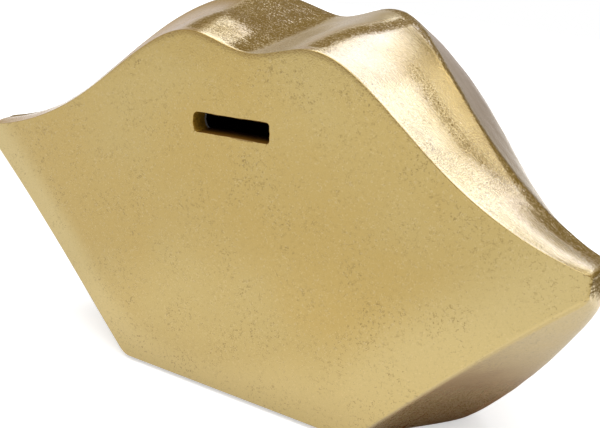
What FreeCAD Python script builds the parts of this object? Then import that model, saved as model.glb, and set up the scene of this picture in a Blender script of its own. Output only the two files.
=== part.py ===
import FreeCAD, Part
import os
import Sketcher
from FreeCAD import Placement, Rotation, Vector

# Lips-shaped money box: a hollow cast front, a flat back panel with the coin slot,
# a rubber stopper in the base and four stick-on pads. Millimetres, +Z up, the pads
# stand on Z = 0, the lips look along -Y and the flat back faces +Y.

SIZES = {
    "HalfWidth": 140,            # half the width of the flat back
    "CornerLean": 0.25,          # how far the mouth corners lean outwards, per mm of depth
    "WallThickness": 6,
    "FloorThickness": 7,
    "RoomHalfLength": 100,       # half the length of the coin room
    "BaseEdgeRadius": 4,
    "PanelThickness": 9,
    "SpigotHeight": 3,           # ring on the panel that centres it in the casting
    "SpigotWidth": 5,
    "SpigotClearance": 0.3,
    "SlotLength": 36,
    "SlotWidth": 7.8,
    "SlotCorner": 1.6,
    "SlotAside": 6,              # slot centre, to the +X side of the middle
    "SlotHeight": 118.7,         # slot centre, above the underside of the casting
    "SlotTilt": 2.5,             # degrees
    "HoleDiameter": 38,
    "HoleInset": 46,             # hole centre, forward of the back face
    "FlangeWidth": 4,            # how far the stopper's flange reaches past the hole
    "FlangeThickness": 3,
    "FlangeClearance": 0.5,      # radial, between the flange and its recess
    "FlangeSunk": 0.5,           # flange underside, above the underside of the casting
    "PlugHeight": 14,
    "PlugWall": 3,
    "RibClearance": 0.1,         # radial, between the stopper's ribs and the hole
    "RibProud": 0.6,
    "RibHeight": 1.6,
    "RibSpacing": 5,
    "WebThickness": 2,
    "DishDepth": 1.8,            # hollow in the stopper's underside, with the pull bar
    "DishDiameter": 28,
    "PullBarWidth": 6,
    "PadDiameter": 14,
    "PadThickness": 2,
    "PadEdge": 0.4,
    "BackPadAside": 44,
    "BackPadInset": 13,
    "FrontPadAside": 50,
    "FrontPadInset": 70,
}

# Heights above the underside of the casting and depths forward of the back face, at
# stations spaced evenly from the middle of the lips to the mouth corner. Both halves
# are alike. Heights below zero only steer the sides, which the underside cuts off.
PROFILE = {
    "BackTop": [149, 154, 140.5, 119, 103.5, 95],
    "BackBottom": [-34, -26, -2.5, 28.5, 59, 87],
    "CrestDepth": [75, 65.5, 44.5, 30.5, 25, 14.5],
    "CrestRise": [9.5, 11, 16.5, 13.5, 5, 1.5],
    "UpperLipDepth": [108, 107, 102, 77, 41, 18],
    "MouthDepth": [88, 87, 79, 54, 24, 6],
    "MouthHeight": [93.5, 96.5, 96.5, 94, 92, 91],
    "LowerLipDepth": [110, 108, 99, 74, 38.5, 14],
    "ChinDepth": [56, 57, 61, 65.5, 49.5, 11.5],
    "ChinHeight": [-31, -33, -41, -33, 9, 76],
}

STEPS = len(PROFILE["BackTop"]) - 1
SECTIONS = 17                    # sections that the lengthwise surfaces pass through

doc = FreeCAD.newDocument("lips_money_box")
sheet = doc.addObject("Spreadsheet::Sheet", "Sizes")


def fill_sheet():
    cells = dict(SIZES)
    for name, values in PROFILE.items():
        for station, value in enumerate(values):
            cells[f"{name}At{station}"] = value
    for row, (name, value) in enumerate(cells.items(), start=1):
        sheet.set(f"A{row}", name)
        sheet.set(f"B{row}", str(value))
        sheet.setAlias(f"B{row}", name)
    doc.recompute()


def size(name):
    return float(sheet.get(name))


def back_plane():
    """Y of the flat back: the box round the whole part is centred on Y = 0."""
    return size("LowerLipDepthAt0") / 2


# ---- the sculpted shape ----

def smooth_curve(name):
    """One row of the profile as a smooth height or depth over x, alike on both halves."""
    half = [size(f"{name}At{station}") for station in range(STEPS + 1)]
    step = size("HalfWidth") / STEPS
    places = [step * n for n in range(-STEPS, STEPS + 1)]
    curve = Part.BSplineCurve()
    curve.interpolate(Points=[Vector(x, half[round(abs(x) / step)], 0) for x in places],
                      Parameters=places)
    return curve


def slant(curve, x, rise):
    """How much longer a cut within the section is than a cut square to the surface."""
    tangent = curve.tangent(x)[0]
    return (1 + (tangent.y / tangent.x) ** 2 + rise ** 2) ** 0.5


def key_points(curves, x, wall):
    """The corners of the section at x as (depth, height), moved in by the wall."""
    row = {name: curve.value(x).y for name, curve in curves.items()}
    crest = row["BackTop"] + row["CrestRise"]
    roof = wall * slant(curves["BackTop"], x, row["CrestRise"] / row["CrestDepth"])
    drop = (row["BackBottom"] - row["ChinHeight"]) / row["ChinDepth"]
    under = wall * slant(curves["BackBottom"], x, drop)
    front = wall * slant(curves["LowerLipDepth"], x, 0)
    upper = 0.58 * row["MouthHeight"] + 0.42 * crest
    lower = 0.6 * row["MouthHeight"] + 0.4 * row["ChinHeight"]
    return {
        "top": Vector(0, row["BackTop"] - roof),
        "crest": Vector(row["CrestDepth"] - wall / 2, crest - roof),
        "upper": Vector(row["UpperLipDepth"] - front, upper),
        "mouth": Vector(row["MouthDepth"] - front - wall / 2, row["MouthHeight"]),
        "lower": Vector(row["LowerLipDepth"] - front, lower),
        "chin": Vector(row["ChinDepth"] - wall, row["ChinHeight"] + under),
        "bottom": Vector(0, row["BackBottom"] + under),
        "fold": 0.02 * (crest - row["MouthHeight"]) + 1.6 * wall,
    }


def section_arcs(key):
    """Five smooth arcs from the back's top edge round the lips to its bottom edge."""
    top, crest, upper, mouth, lower, chin, bottom, fold = key.values()
    band = crest - top
    lip = upper.x - crest.x
    return [
        [top, top + Vector(band.x / 3, band.y / 4), crest - Vector(band.x / 3, band.y / 2), crest],
        [crest, crest + Vector(lip / 2, -lip / 6), upper + Vector(0, (crest.y - upper.y) / 2), upper],
        [upper, upper - Vector(0, 0.6 * (upper.y - mouth.y)),
         mouth + Vector(0.4 * (upper.x - mouth.x), fold), mouth],
        [mouth, mouth + Vector(0.4 * (lower.x - mouth.x), -fold),
         lower + Vector(0, 0.6 * (mouth.y - lower.y)), lower],
        [lower, lower - Vector(0, 0.6 * (lower.y - chin.y)), chin,
         bottom + (chin - bottom) * 0.4, bottom],
    ]


def place(x, point):
    """A point of the section at x, whose plane leans outwards near the mouth corners."""
    lean = size("CornerLean") * (x / size("HalfWidth")) ** 7
    return Vector(x + lean * point.x, back_plane() - point.x, point.y + size("PadThickness"))


def section_wire(curves, x, wall):
    """The closed section at x, its back edge straight."""
    arcs = section_arcs(key_points(curves, x, wall))
    edges = []
    for arc in arcs:
        curve = Part.BezierCurve()
        curve.setPoles([place(x, point) for point in arc])
        edges.append(curve.toShape())
    edges.append(Part.makeLine(place(x, arcs[-1][-1]), place(x, arcs[0][0])))
    return Part.Wire(edges)


def core_wire(curves, x, wall):
    """The section at x near the back only, closed by straight lines along its slopes."""
    arcs = section_arcs(key_points(curves, x, wall))
    far = size("PanelThickness") + size("SpigotHeight") * 2
    top, above = arcs[0][:2]
    below, bottom = arcs[-1][-2:]
    front_top = top + (above - top) * (far / above.x)
    front_bottom = bottom + (below - bottom) * (far / below.x)
    corners = [place(x, point) for point in (bottom, top, front_top, front_bottom)]
    return Part.makePolygon([*corners, corners[0]])


def lips_form(name, inset, reach, wire=section_wire):
    """The lips as a solid, all its faces moved in by the inset, reach mm each side."""
    curves = {row: smooth_curve(row) for row in PROFILE}
    places = [reach * (2 * n / (SECTIONS - 1) - 1) for n in range(SECTIONS)]
    form = doc.addObject("Part::Feature", name)
    form.Shape = Part.makeLoft([wire(curves, x, inset) for x in places], True, False)
    return form


# ---- blocks and booleans ----

BACK = "Sizes.LowerLipDepthAt0 / 2"
UNDERSIDE = "Sizes.PadThickness"
SEAM = f"{BACK} - Sizes.PanelThickness"
FAR = "Sizes.HalfWidth * 2"      # beyond every face of the lips


def block(name, thickness, front, floor):
    """A trimming block wider and higher than the lips, given its thickness, front and floor."""
    box = doc.addObject("Part::Box", name)
    box.setExpression("Length", f"{FAR} * 2")
    box.setExpression("Height", f"{FAR} * 2")
    box.setExpression("Width", thickness)
    box.setExpression("Placement.Base.x", f"-{FAR}")
    box.setExpression("Placement.Base.y", front)
    box.setExpression("Placement.Base.z", floor)
    return box


def combine(kind, name, base, tool):
    result = doc.addObject(f"Part::{kind}", name)
    result.Base = base
    result.Tool = tool
    doc.recompute()
    return result


# ---- the casting ----

def cast_blank():
    """The whole outside, cut flat underneath, its lower edge rounded but for the back."""
    form = lips_form("outside_form", 0, size("HalfWidth"))
    above = block("above_underside", f"{FAR} * 2", f"-{FAR}", UNDERSIDE)
    blank = combine("Common", "flat_based_form", form, above)
    rounded = doc.addObject("Part::Fillet", "rounded_form")
    rounded.Base = blank
    radius = size("BaseEdgeRadius")
    rounded.Edges = [(n, radius, radius) for n, edge in enumerate(blank.Shape.Edges, start=1)
                     if is_lower_edge(edge)]
    doc.recompute()
    return rounded


def is_lower_edge(edge):
    box = edge.BoundBox
    flat = abs(box.ZMax - size("PadThickness")) < 1e-3
    return flat and box.YMin < back_plane() - 1e-3


def coin_room():
    """The hollow of the casting, open towards the back."""
    form = lips_form("room_form", size("WallThickness"), size("RoomHalfLength"))
    floor = f"{UNDERSIDE} + Sizes.FloorThickness"
    above = block("above_floor", f"{FAR} * 2", f"-{FAR}", floor)
    return combine("Common", "coin_room", form, above)


def stopper_hole():
    """The hole through the base and the recess that takes the stopper's flange."""
    hole = doc.addObject("Part::Cylinder", "stopper_hole")
    hole.setExpression("Radius", "Sizes.HoleDiameter / 2")
    hole.setExpression("Height", "Sizes.FloorThickness * 2")
    recess = doc.addObject("Part::Cylinder", "flange_recess")
    recess.setExpression("Radius", "Sizes.HoleDiameter / 2 + Sizes.FlangeWidth + Sizes.FlangeClearance")
    recess.setExpression("Height", "Sizes.FlangeSunk + Sizes.FlangeThickness")
    for cutter in (hole, recess):
        cutter.setExpression("Placement.Base.y", f"{BACK} - Sizes.HoleInset")
        cutter.setExpression("Placement.Base.z", UNDERSIDE)
    return combine("Fuse", "hole_and_recess", hole, recess)


def lips_casting(blank):
    behind_seam = block("behind_seam", FAR, SEAM, f"-{FAR}")
    front = combine("Cut", "front_form", blank, behind_seam)
    hollow = combine("Cut", "hollow_form", front, coin_room())
    return combine("Cut", "lips_casting", hollow, stopper_hole())


# ---- the back panel ----

def above_inner_floor(name, form, gap):
    floor = f"{UNDERSIDE} + Sizes.FloorThickness + {gap}"
    return combine("Common", name, form, block(f"{name}_block", f"{FAR} * 2", f"-{FAR}", floor))


def spigot():
    """A ring in front of the panel: a slice of the coin room, smaller by the clearance."""
    clearance = size("SpigotClearance")
    wall = size("WallThickness") + clearance
    reach = size("RoomHalfLength") - clearance
    rim = above_inner_floor("spigot_rim", lips_form("rim_form", wall, reach), clearance)
    depth = "Sizes.SpigotHeight"
    rim_slice = combine("Common", "rim_slice", rim, block("rim_block", depth, f"{SEAM} - {depth}", f"-{FAR}"))
    width = size("SpigotWidth")
    core_form = lips_form("core_form", wall + width, reach - width, core_wire)
    core = above_inner_floor("spigot_core", core_form, clearance + width)
    return combine("Cut", "spigot", rim_slice, core)


def back_panel(blank):
    plate = combine("Common", "panel_plate", blank, block("panel_block", FAR, SEAM, f"-{FAR}"))
    solid = combine("Fuse", "panel_and_spigot", plate, spigot())
    return combine("Cut", "back_panel", solid, coin_slot())


def coin_slot():
    """A cutter with rounded ends, through the panel with room to spare."""
    cutter = doc.addObject("Part::Box", "slot_block")
    cutter.setExpression("Length", "Sizes.SlotLength")
    cutter.setExpression("Width", "Sizes.PanelThickness * 2")
    cutter.setExpression("Height", "Sizes.SlotWidth")
    doc.recompute()
    slot = doc.addObject("Part::Fillet", "coin_slot")
    slot.Base = cutter
    corner = size("SlotCorner")
    slot.Edges = [(n, corner, corner) for n, edge in enumerate(cutter.Shape.Edges, start=1)
                  if abs(edge.tangentAt(edge.FirstParameter).y) > 0.9]
    middle = Vector(size("SlotAside"), back_plane() - size("PanelThickness") / 2,
                    size("SlotHeight") + size("PadThickness"))
    turned = Placement(middle, Rotation(Vector(0, 1, 0), size("SlotTilt")))
    half = Vector(size("SlotLength") / 2, size("PanelThickness"), size("SlotWidth") / 2)
    slot.Placement = turned * Placement(half.negative(), Rotation())
    doc.recompute()
    return slot


# ---- the stopper ----

def origin_plane(body, role):
    return next(item for item in body.Origin.OriginFeatures if item.Role == role)


def evaluate(expression):
    return float(sheet.evalExpression(expression))


def bind_corner(outline, corner, kind, axis, expression):
    """Holds one coordinate of a corner to its expression, or the corner on the axis."""
    if expression == "0":
        outline.addConstraint(Sketcher.Constraint("PointOnObject", corner, 1, axis))
        return
    distance = Sketcher.Constraint(kind, -1, 1, corner, 1, evaluate(expression))
    index = outline.addConstraint(distance)
    outline.setExpression(f"Constraints[{index}]", expression)


def closed_outline(body, name, role, corners):
    """A sketch with straight sides, each corner given by two expressions."""
    outline = body.newObject("Sketcher::SketchObject", name)
    outline.AttachmentSupport = [(origin_plane(body, role), "")]
    outline.MapMode = "FlatFace"
    doc.recompute()
    places = [Vector(evaluate(across), evaluate(up), 0) for across, up in corners]
    for n, place in enumerate(places):
        outline.addGeometry(Part.LineSegment(place, places[(n + 1) % len(places)]))
    for n, (across, up) in enumerate(corners):
        outline.addConstraint(Sketcher.Constraint("Coincident", n, 2, (n + 1) % len(corners), 1))
        bind_corner(outline, n, "DistanceX", -2, across)
        bind_corner(outline, n, "DistanceY", -1, up)
    doc.recompute()
    return outline


CORE = "Sizes.HoleDiameter / 2 - Sizes.RibClearance - Sizes.RibProud"


def rib_corners(number):
    """A rib with sloping flanks on the side of the plug."""
    middle = f"Sizes.FlangeThickness + Sizes.RibSpacing * {number} - Sizes.RibHeight / 2"
    return [
        (CORE, f"{middle} - Sizes.RibHeight / 2 - Sizes.RibProud / 2"),
        (f"{CORE} + Sizes.RibProud", f"{middle} - Sizes.RibHeight / 2"),
        (f"{CORE} + Sizes.RibProud", f"{middle} + Sizes.RibHeight / 2"),
        (CORE, f"{middle} + Sizes.RibHeight / 2 + Sizes.RibProud / 2"),
    ]


def coin_stopper():
    """Rubber cup with a flange, two ribs and a pull bar in its dished underside."""
    body = doc.addObject("PartDesign::Body", "coin_stopper")
    bore = f"{CORE} - Sizes.PlugWall"
    flange = "Sizes.HoleDiameter / 2 + Sizes.FlangeWidth"
    height = "Sizes.FlangeThickness + Sizes.PlugHeight"
    corners = [
        ("0", "Sizes.DishDepth"),
        ("Sizes.DishDiameter / 2", "Sizes.DishDepth"),
        ("Sizes.DishDiameter / 2", "0"),
        (flange, "0"),
        (flange, "Sizes.FlangeThickness"),
        (CORE, "Sizes.FlangeThickness"),
        *rib_corners(1),
        *rib_corners(2),
        (CORE, f"{height} - Sizes.PlugWall / 2"),
        (f"{CORE} - Sizes.PlugWall / 2", height),
        (bore, height),
        (bore, "Sizes.DishDepth + Sizes.WebThickness"),
        ("0", "Sizes.DishDepth + Sizes.WebThickness"),
    ]
    profile = closed_outline(body, "stopper_profile", "XZ_Plane", corners)
    cup = body.newObject("PartDesign::Revolution", "stopper_cup")
    cup.Profile = profile
    cup.ReferenceAxis = (profile, ["V_Axis"])
    cup.Angle = 360
    half_bar = "Sizes.PullBarWidth / 2"
    bar_end = "Sizes.DishDiameter / 2 + Sizes.DishDepth / 2"
    across = [(f"-({bar_end})", f"-({half_bar})"), (bar_end, f"-({half_bar})"),
              (bar_end, half_bar), (f"-({bar_end})", half_bar)]
    bar = body.newObject("PartDesign::Pad", "pull_bar")
    bar.Profile = closed_outline(body, "bar_outline", "XY_Plane", across)
    bar.setExpression("Length", "Sizes.DishDepth + Sizes.WebThickness / 2")
    body.setExpression("Placement.Base.y", f"{BACK} - Sizes.HoleInset")
    body.setExpression("Placement.Base.z", f"{UNDERSIDE} + Sizes.FlangeSunk")
    doc.recompute()
    return body


# ---- the pads ----

def foot_pad(name, aside, inset):
    disc = doc.addObject("Part::Cylinder", f"{name}_disc")
    disc.setExpression("Radius", "Sizes.PadDiameter / 2")
    disc.setExpression("Height", "Sizes.PadThickness")
    disc.setExpression("Placement.Base.x", aside)
    disc.setExpression("Placement.Base.y", f"{BACK} - {inset}")
    doc.recompute()
    pad = doc.addObject("Part::Chamfer", name)
    pad.Base = disc
    edge_size = size("PadEdge")
    pad.Edges = [(n, edge_size, edge_size) for n, edge in enumerate(disc.Shape.Edges, start=1)
                 if len(edge.Vertexes) == 1 and edge.BoundBox.ZMax < size("PadThickness") / 2]
    doc.recompute()
    return pad


def foot_pads():
    pads = []
    for end in ("Back", "Front"):
        for side, sign in (("left", "-"), ("right", "")):
            aside = f"{sign}Sizes.{end}PadAside"
            pads.append(foot_pad(f"foot_pad_{end.lower()}_{side}", aside, f"Sizes.{end}PadInset"))
    return pads


def check(nodes):
    for item in doc.Objects:
        if {"Invalid", "Error"} & set(item.State):
            raise RuntimeError(f"{item.Name} did not recompute: {item.State}")
    for node in nodes:
        shape = node.Shape
        if shape.isNull() or not shape.isValid() or not shape.Solids:
            raise RuntimeError(f"{node.Label} has no sound solid")
        print(node.Label, len(shape.Solids), round(shape.Volume / 1000, 1), "cm3")


fill_sheet()
blank = cast_blank()
nodes = [lips_casting(blank), back_panel(blank), coin_stopper(), *foot_pads()]
doc.recompute()
check(nodes)
os.makedirs("parts", exist_ok=True)
for node in nodes:
    node.Shape.exportStep(f"parts/{node.Label}.step")
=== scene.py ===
import math

import bpy
import bmesh
import numpy as np
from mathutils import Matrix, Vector


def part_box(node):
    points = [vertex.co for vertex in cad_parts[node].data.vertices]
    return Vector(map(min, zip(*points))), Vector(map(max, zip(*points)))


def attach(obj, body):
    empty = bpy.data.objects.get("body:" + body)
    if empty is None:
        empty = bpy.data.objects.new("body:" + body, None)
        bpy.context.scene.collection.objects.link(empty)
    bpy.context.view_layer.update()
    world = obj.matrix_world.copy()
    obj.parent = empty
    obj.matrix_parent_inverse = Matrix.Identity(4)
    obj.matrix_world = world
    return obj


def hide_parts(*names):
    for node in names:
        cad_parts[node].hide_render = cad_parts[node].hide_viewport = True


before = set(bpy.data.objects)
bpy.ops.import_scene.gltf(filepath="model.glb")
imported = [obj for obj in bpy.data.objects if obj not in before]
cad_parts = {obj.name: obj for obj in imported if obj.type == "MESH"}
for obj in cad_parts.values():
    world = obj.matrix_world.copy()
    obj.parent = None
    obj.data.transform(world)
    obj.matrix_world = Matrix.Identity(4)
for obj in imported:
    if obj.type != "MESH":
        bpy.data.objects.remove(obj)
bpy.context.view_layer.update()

scene = bpy.context.scene
mm = 0.001
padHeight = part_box("foot_pad_back_left")[1].z / mm     # the casting stands on the pads
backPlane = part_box("back_panel")[1].y / mm

# Depths are mm forward of the flat back, heights mm above the underside of the casting,
# in rows at six stations from the middle of the lips to the mouth corner.
lips = dict(
    halfWidth=140, cornerLean=0.25, leanPower=7, panel=9, wall=6, floor=7, roomHalf=100,
    backTop=[149, 154, 140.5, 119, 103.5, 95],
    backBottom=[-34, -26, -2.5, 28.5, 59, 87],
    crestDepth=[75, 65.5, 44.5, 30.5, 25, 14.5],
    crestRise=[11, 13, 17.3, 13.8, 5, 1.5],
    upperDepth=[108, 107, 103.5, 78, 41, 18],
    mouthDepth=[88, 87, 79, 54, 24, 6],
    mouthHeight=[93.5, 96.5, 96.5, 94, 92, 91],
    lowerDepth=[110, 108, 99, 74, 38.5, 14],
    chinDepth=[56, 57, 61, 65.5, 49.5, 11.5],
    chinHeight=[-31, -33, -41, -33, 9, 76],
    upperMix=(0.58, 0.42), lowerMix=(0.6, 0.4), fold=0.02, foldWall=1.6,
    crestRound=[12, 11, 3, 0.4, 0.3, 0.3],
    baseRound=3, rimRound=0.25, bottomRound=0.9, bottomLift=0.72, tipRound=3, tipShrink=0.16,
    stations=250, crowding=0.1, backCount=56, arcCounts=(48, 30, 32, 32, 78), crestCount=9, rimCount=3,
    bulge=(1.8, 1.4), bulgeAt=22, bulgeWide=18, bulgeDeep=(38, 58), bulgeAbove=110,
    tipBulge=1.0, tipBulgeFrom=92, tipBulgeOver=22, tipBulgeLean=0.7,
    waves=0.08, backWaves=0.05, backShare=0.6, wavesFrom=(10, 5, 8),
    edgeSag=0.8, edgeReach=30, edgeSoft=8, edgeFurther=(-30, 30), baseHalf=58, cornerHeight=87, backDepth=2,
)
aboveMouth = lips["mouthHeight"][-1] + 1      # points of the crest band and the upper lip are higher


def smoothRow(values, x):
    # Cubic spline through the row mirrored about the middle, its end spans running on
    # from their neighbours: blend of the two knots plus the bend terms of the span.
    y = np.array(values[:0:-1] + values, float)
    count = len(y)
    system = np.zeros((count, count))
    right = np.zeros(count)
    system[0, :3] = system[-1, -3:] = 1, -2, 1
    inner = np.arange(1, count - 1)
    system[inner, inner - 1] = system[inner, inner + 1] = 1
    system[inner, inner] = 4
    right[1:-1] = 6 * (y[:-2] - 2 * y[1:-1] + y[2:])
    bend = np.linalg.solve(system, right)
    place = (np.asarray(x, float) / lips["halfWidth"] + 1) / 2 * (count - 1)
    span = np.clip(place.astype(int), 0, count - 2)
    t = place - span
    a, b = y[span], y[span + 1]
    ma, mb = bend[span], bend[span + 1]
    return (1 - t) * a + t * b + ((1 - t) ** 3 - (1 - t)) * ma / 6 + (t ** 3 - t) * mb / 6


def bezier(points, t):
    # Bernstein sum of the control points, one row of t for each station.
    degree = len(points) - 1
    weights = [math.comb(degree, k) * (1 - t) ** (degree - k) * t ** k for k in range(degree + 1)]
    return sum(w[..., None] * p[:, None, :] for w, p in zip(weights, points))


def bezierWay(points, t):
    # Derivative of that sum: the steps between the control points, times the degree.
    return bezier([(len(points) - 1) * (b - a) for a, b in zip(points[:-1], points[1:])], t)


def sectionKeys(x, wall=0.0):
    # The corners of the sections at x as (depth, height), each moved in by the wall,
    # measured square to the slope of its row.
    row = {k: smoothRow(v, x) for k, v in lips.items() if isinstance(v, list)}
    crest = row["backTop"] + row["crestRise"]

    def slant(name, rise=0.0):
        return wall * np.sqrt(1 + np.gradient(row[name], x) ** 2 + rise ** 2)

    def mixed(name, other):
        return lips[name][0] * row["mouthHeight"] + lips[name][1] * other

    def point(depth, height):
        return np.stack([depth, height], -1)

    roof = slant("backTop", row["crestRise"] / row["crestDepth"])
    under = slant("backBottom", (row["backBottom"] - row["chinHeight"]) / row["chinDepth"])
    front = slant("lowerDepth")
    return dict(
        top=point(0 * x, row["backTop"] - roof),
        crest=point(row["crestDepth"] - wall / 2, crest - roof),
        upper=point(row["upperDepth"] - front, mixed("upperMix", crest)),
        mouth=point(row["mouthDepth"] - front - wall / 2, row["mouthHeight"]),
        lower=point(row["lowerDepth"] - front, mixed("lowerMix", row["chinHeight"])),
        chin=point(row["chinDepth"] - wall, row["chinHeight"] + under),
        bottom=point(0 * x, row["backBottom"] + under),
        fold=lips["fold"] * (crest - row["mouthHeight"]) + lips["foldWall"] * wall,
    )


def sectionArcs(key):
    # Four cubic arcs and a quartic one, from the top of the back round the lips to its bottom.
    top, crest, upper, mouth, lower, chin, bottom, fold = key.values()

    def shift(depth, height):
        return np.stack(np.broadcast_arrays(depth, height), -1)

    band, lip = crest - top, (upper - crest)[:, 0]
    return [
        [top, top + band * [1 / 3, 1 / 4], crest - band * [1 / 3, 1 / 2], crest],
        [crest, crest + shift(lip / 2, -lip / 6), upper + shift(0, (crest - upper)[:, 1] / 2), upper],
        [upper, upper - shift(0, 0.6 * (upper - mouth)[:, 1]),
         mouth + shift(0.4 * (upper - mouth)[:, 0], fold), mouth],
        [mouth, mouth + shift(0.4 * (lower - mouth)[:, 0], -fold),
         lower + shift(0, 0.6 * (mouth - lower)[:, 1]), lower],
        [lower, lower - shift(0, 0.6 * (lower - chin)[:, 1]), chin, bottom + (chin - bottom) * 0.4, bottom],
    ]


def softFloor(height, level, reach):
    # Heights below the level become the level, with a parabola within the reach of it.
    h = height - level
    return level + np.where(h > reach, h, np.where(h < -reach, 0, (h + reach) ** 2 / (4 * reach)))


def toFrame(x, depth, height):
    # Sections lean outwards near the mouth corners: x plus the lean times the seventh power of
    # x over the half width times the depth.
    lean = lips["cornerLean"] * (x / lips["halfWidth"]) ** lips["leanPower"]
    place = [x + lean * depth, backPlane - depth, height + padHeight]
    return np.stack(np.broadcast_arrays(*place), -1) * mm


def roundOff(first, firstWay, last, lastWay, count):
    # Quadratic arc between two points of each section, its control where their tangents meet.
    across = firstWay[:, 0] * lastWay[:, 1] - firstWay[:, 1] * lastWay[:, 0]
    gap = last - first
    reach = (gap[:, 0] * lastWay[:, 1] - gap[:, 1] * lastWay[:, 0]) / across
    t = np.linspace(0, 1, count + 2)[None, 1:-1]
    return bezier([first, first + firstWay * reach[:, None], last], t)


def meshOf(name, vertices, faces, uvs=None):
    # One mesh object from vertices, faces and, where given, a UV for each face corner.
    mesh = bpy.data.meshes.new(name)
    mesh.from_pydata(vertices, [], faces)
    if uvs is not None:
        for label, values in uvs.items():
            layer = mesh.uv_layers.new(name=label)
            layer.data.foreach_set("uv", np.asarray(values, np.float32).ravel())
    mesh.update()
    piece = bpy.data.objects.new(name, mesh)
    scene.collection.objects.link(piece)
    return piece


def tube(name, points, uv=None, others=None):
    # Closed rings joined in order, the first and last ring closed by a face. The UV map lie runs
    # along and round the tube, and each of the others holds two more values for each point.
    rings, count = points.shape[:2]
    ring = np.arange(rings - 1)[:, None] * count
    here = np.arange(count)[None, :]
    after = (here + 1) % count
    quads = np.stack([ring + here, ring + after, ring + after + count, ring + here + count], -1)
    quads = quads.reshape(-1, 4)
    caps = [list(range(count))[::-1], list(range((rings - 1) * count, rings * count))]
    maps = None
    if uv is not None:
        u, v = uv[0][:, None], uv[1][None, :]
        pairs = [(u[:-1], v[:, :-1]), (u[:-1], v[:, 1:]), (u[1:], v[:, 1:]), (u[1:], v[:, :-1])]
        quadUv = np.stack([np.stack(np.broadcast_arrays(a, b), -1) for a, b in pairs], 2).reshape(-1, 2)
        capUv = points[:, :, ::2] * 10
        maps = {"lie": np.concatenate([quadUv, capUv[0, ::-1], capUv[-1]])}
        corners = np.concatenate([quads.ravel(), caps[0], caps[1]])
        maps.update({label: values.reshape(-1, 2)[corners] for label, values in others.items()})
    return meshOf(name, points.reshape(-1, 3).tolist(), quads.tolist() + caps, maps)


def turnOutwards(piece):
    # Faces made to agree, then all turned over if the signed volume is below zero.
    shape = bmesh.new()
    shape.from_mesh(piece.data)
    bmesh.ops.recalc_face_normals(shape, faces=shape.faces)
    if shape.calc_volume(signed=True) < 0:
        bmesh.ops.reverse_faces(shape, faces=shape.faces)
    shape.to_mesh(piece.data)
    shape.free()


def gridNormals(points):
    # Cross product of the two directions of the grid.
    across = np.gradient(points, axis=0)
    along = np.roll(points, -1, 1) - np.roll(points, 1, 1)
    normal = np.cross(across, along)
    return normal / np.maximum(np.linalg.norm(normal, axis=-1, keepdims=True), 1e-12)


def handWaves(points):
    # The low waves that filling and sanding leave: sums of sines across the surface.
    x, y, z = np.moveaxis(points / mm, -1, 0)
    waves = np.sin(x / 5.5 + 1.1 * np.sin(z / 8)) * np.cos(y / 6.4 + z / 9)
    waves += 0.7 * np.sin(x / 3.4 - y / 4.6 + 1.3) * np.sin(z / 4.2 + y / 5.9)
    return waves + 0.5 * np.sin(x / 13 + z / 11 + 0.7)


def fade(value, start, stop):
    # 0 before start to 1 after stop in a smooth step, either way round.
    t = np.clip((value - start) / (stop - start), 0, 1)
    return t * t * (3 - 2 * t)


def bell(value, wide):
    # 1 at zero, falling off on both sides as the exponential of minus the square of value over wide.
    return np.exp(-(value / wide) ** 2)


def closedSections(x, key):
    # Closed sections from the bottom of the back up to its top and round the lips to the start:
    # back line, rim arc, crest band, crest arc, both lips, chin and bottom arc. At the mouth
    # corners they shrink about their middles by a quarter of an ellipse.
    arcs = sectionArcs(key)
    zero, one = 0 * x, 0 * x + 1

    def part(n, start, stop, count):     # points of arc n from start to stop
        return bezier(arcs[n], start[:, None] + (stop - start)[:, None] * np.linspace(0, 1, count))

    def spot(n, t):                      # the point of arc n at t and the arc's direction there
        return bezier(arcs[n], t[:, None])[:, 0], bezierWay(arcs[n], t[:, None])[:, 0]

    def share(n, t, length):             # how much of arc n from t the length covers
        return length / np.linalg.norm(spot(n, t)[1], axis=-1)

    def clamped(points):
        return np.stack([points[..., 0], softFloor(points[..., 1], 0, lips["baseRound"])], -1)

    crestCut = smoothRow(lips["crestRound"], x)
    rimEnd = share(0, zero, lips["rimRound"])
    bandEnd = 1 - share(0, one, crestCut)
    lipStart = share(1, zero, crestCut)
    chinEnd = 1 - share(4, one, lips["bottomRound"])

    foot = softFloor(key["bottom"][:, 1], 0, lips["baseRound"]) + lips["bottomLift"]
    head = key["top"][:, 1] - lips["rimRound"]
    line = foot[:, None] + (head - foot)[:, None] * np.linspace(0, 1, lips["backCount"])
    line = np.stack([0 * line, line], -1)
    up = np.stack([zero, one], -1)
    chinLast = clamped(spot(4, chinEnd)[0])
    chinWay = chinLast - clamped(spot(4, chinEnd - 0.004)[0])

    band, lip, low, high, chin = lips["arcCounts"]
    loop = np.concatenate([
        line,
        roundOff(line[:, -1], up, *spot(0, rimEnd), lips["rimCount"]),
        part(0, rimEnd, bandEnd, band),
        roundOff(*spot(0, bandEnd), *spot(1, lipStart), lips["crestCount"]),
        part(1, lipStart, one, lip),
        part(2, zero, one, low)[:, 1:],
        part(3, zero, one, high)[:, 1:],
        clamped(part(4, zero, chinEnd, chin)[:, 1:]),
        roundOff(chinLast, chinWay, line[:, 0], up, lips["rimCount"]),
    ], 1)
    near = np.clip((np.abs(x) - lips["halfWidth"] + lips["tipRound"]) / lips["tipRound"], 0, 1)
    shrink = 1 - lips["tipShrink"] * (1 - np.sqrt(1 - near ** 2))
    middle = loop.mean(1, keepdims=True)
    return middle + (loop - middle) * shrink[:, None, None], shrink


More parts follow.
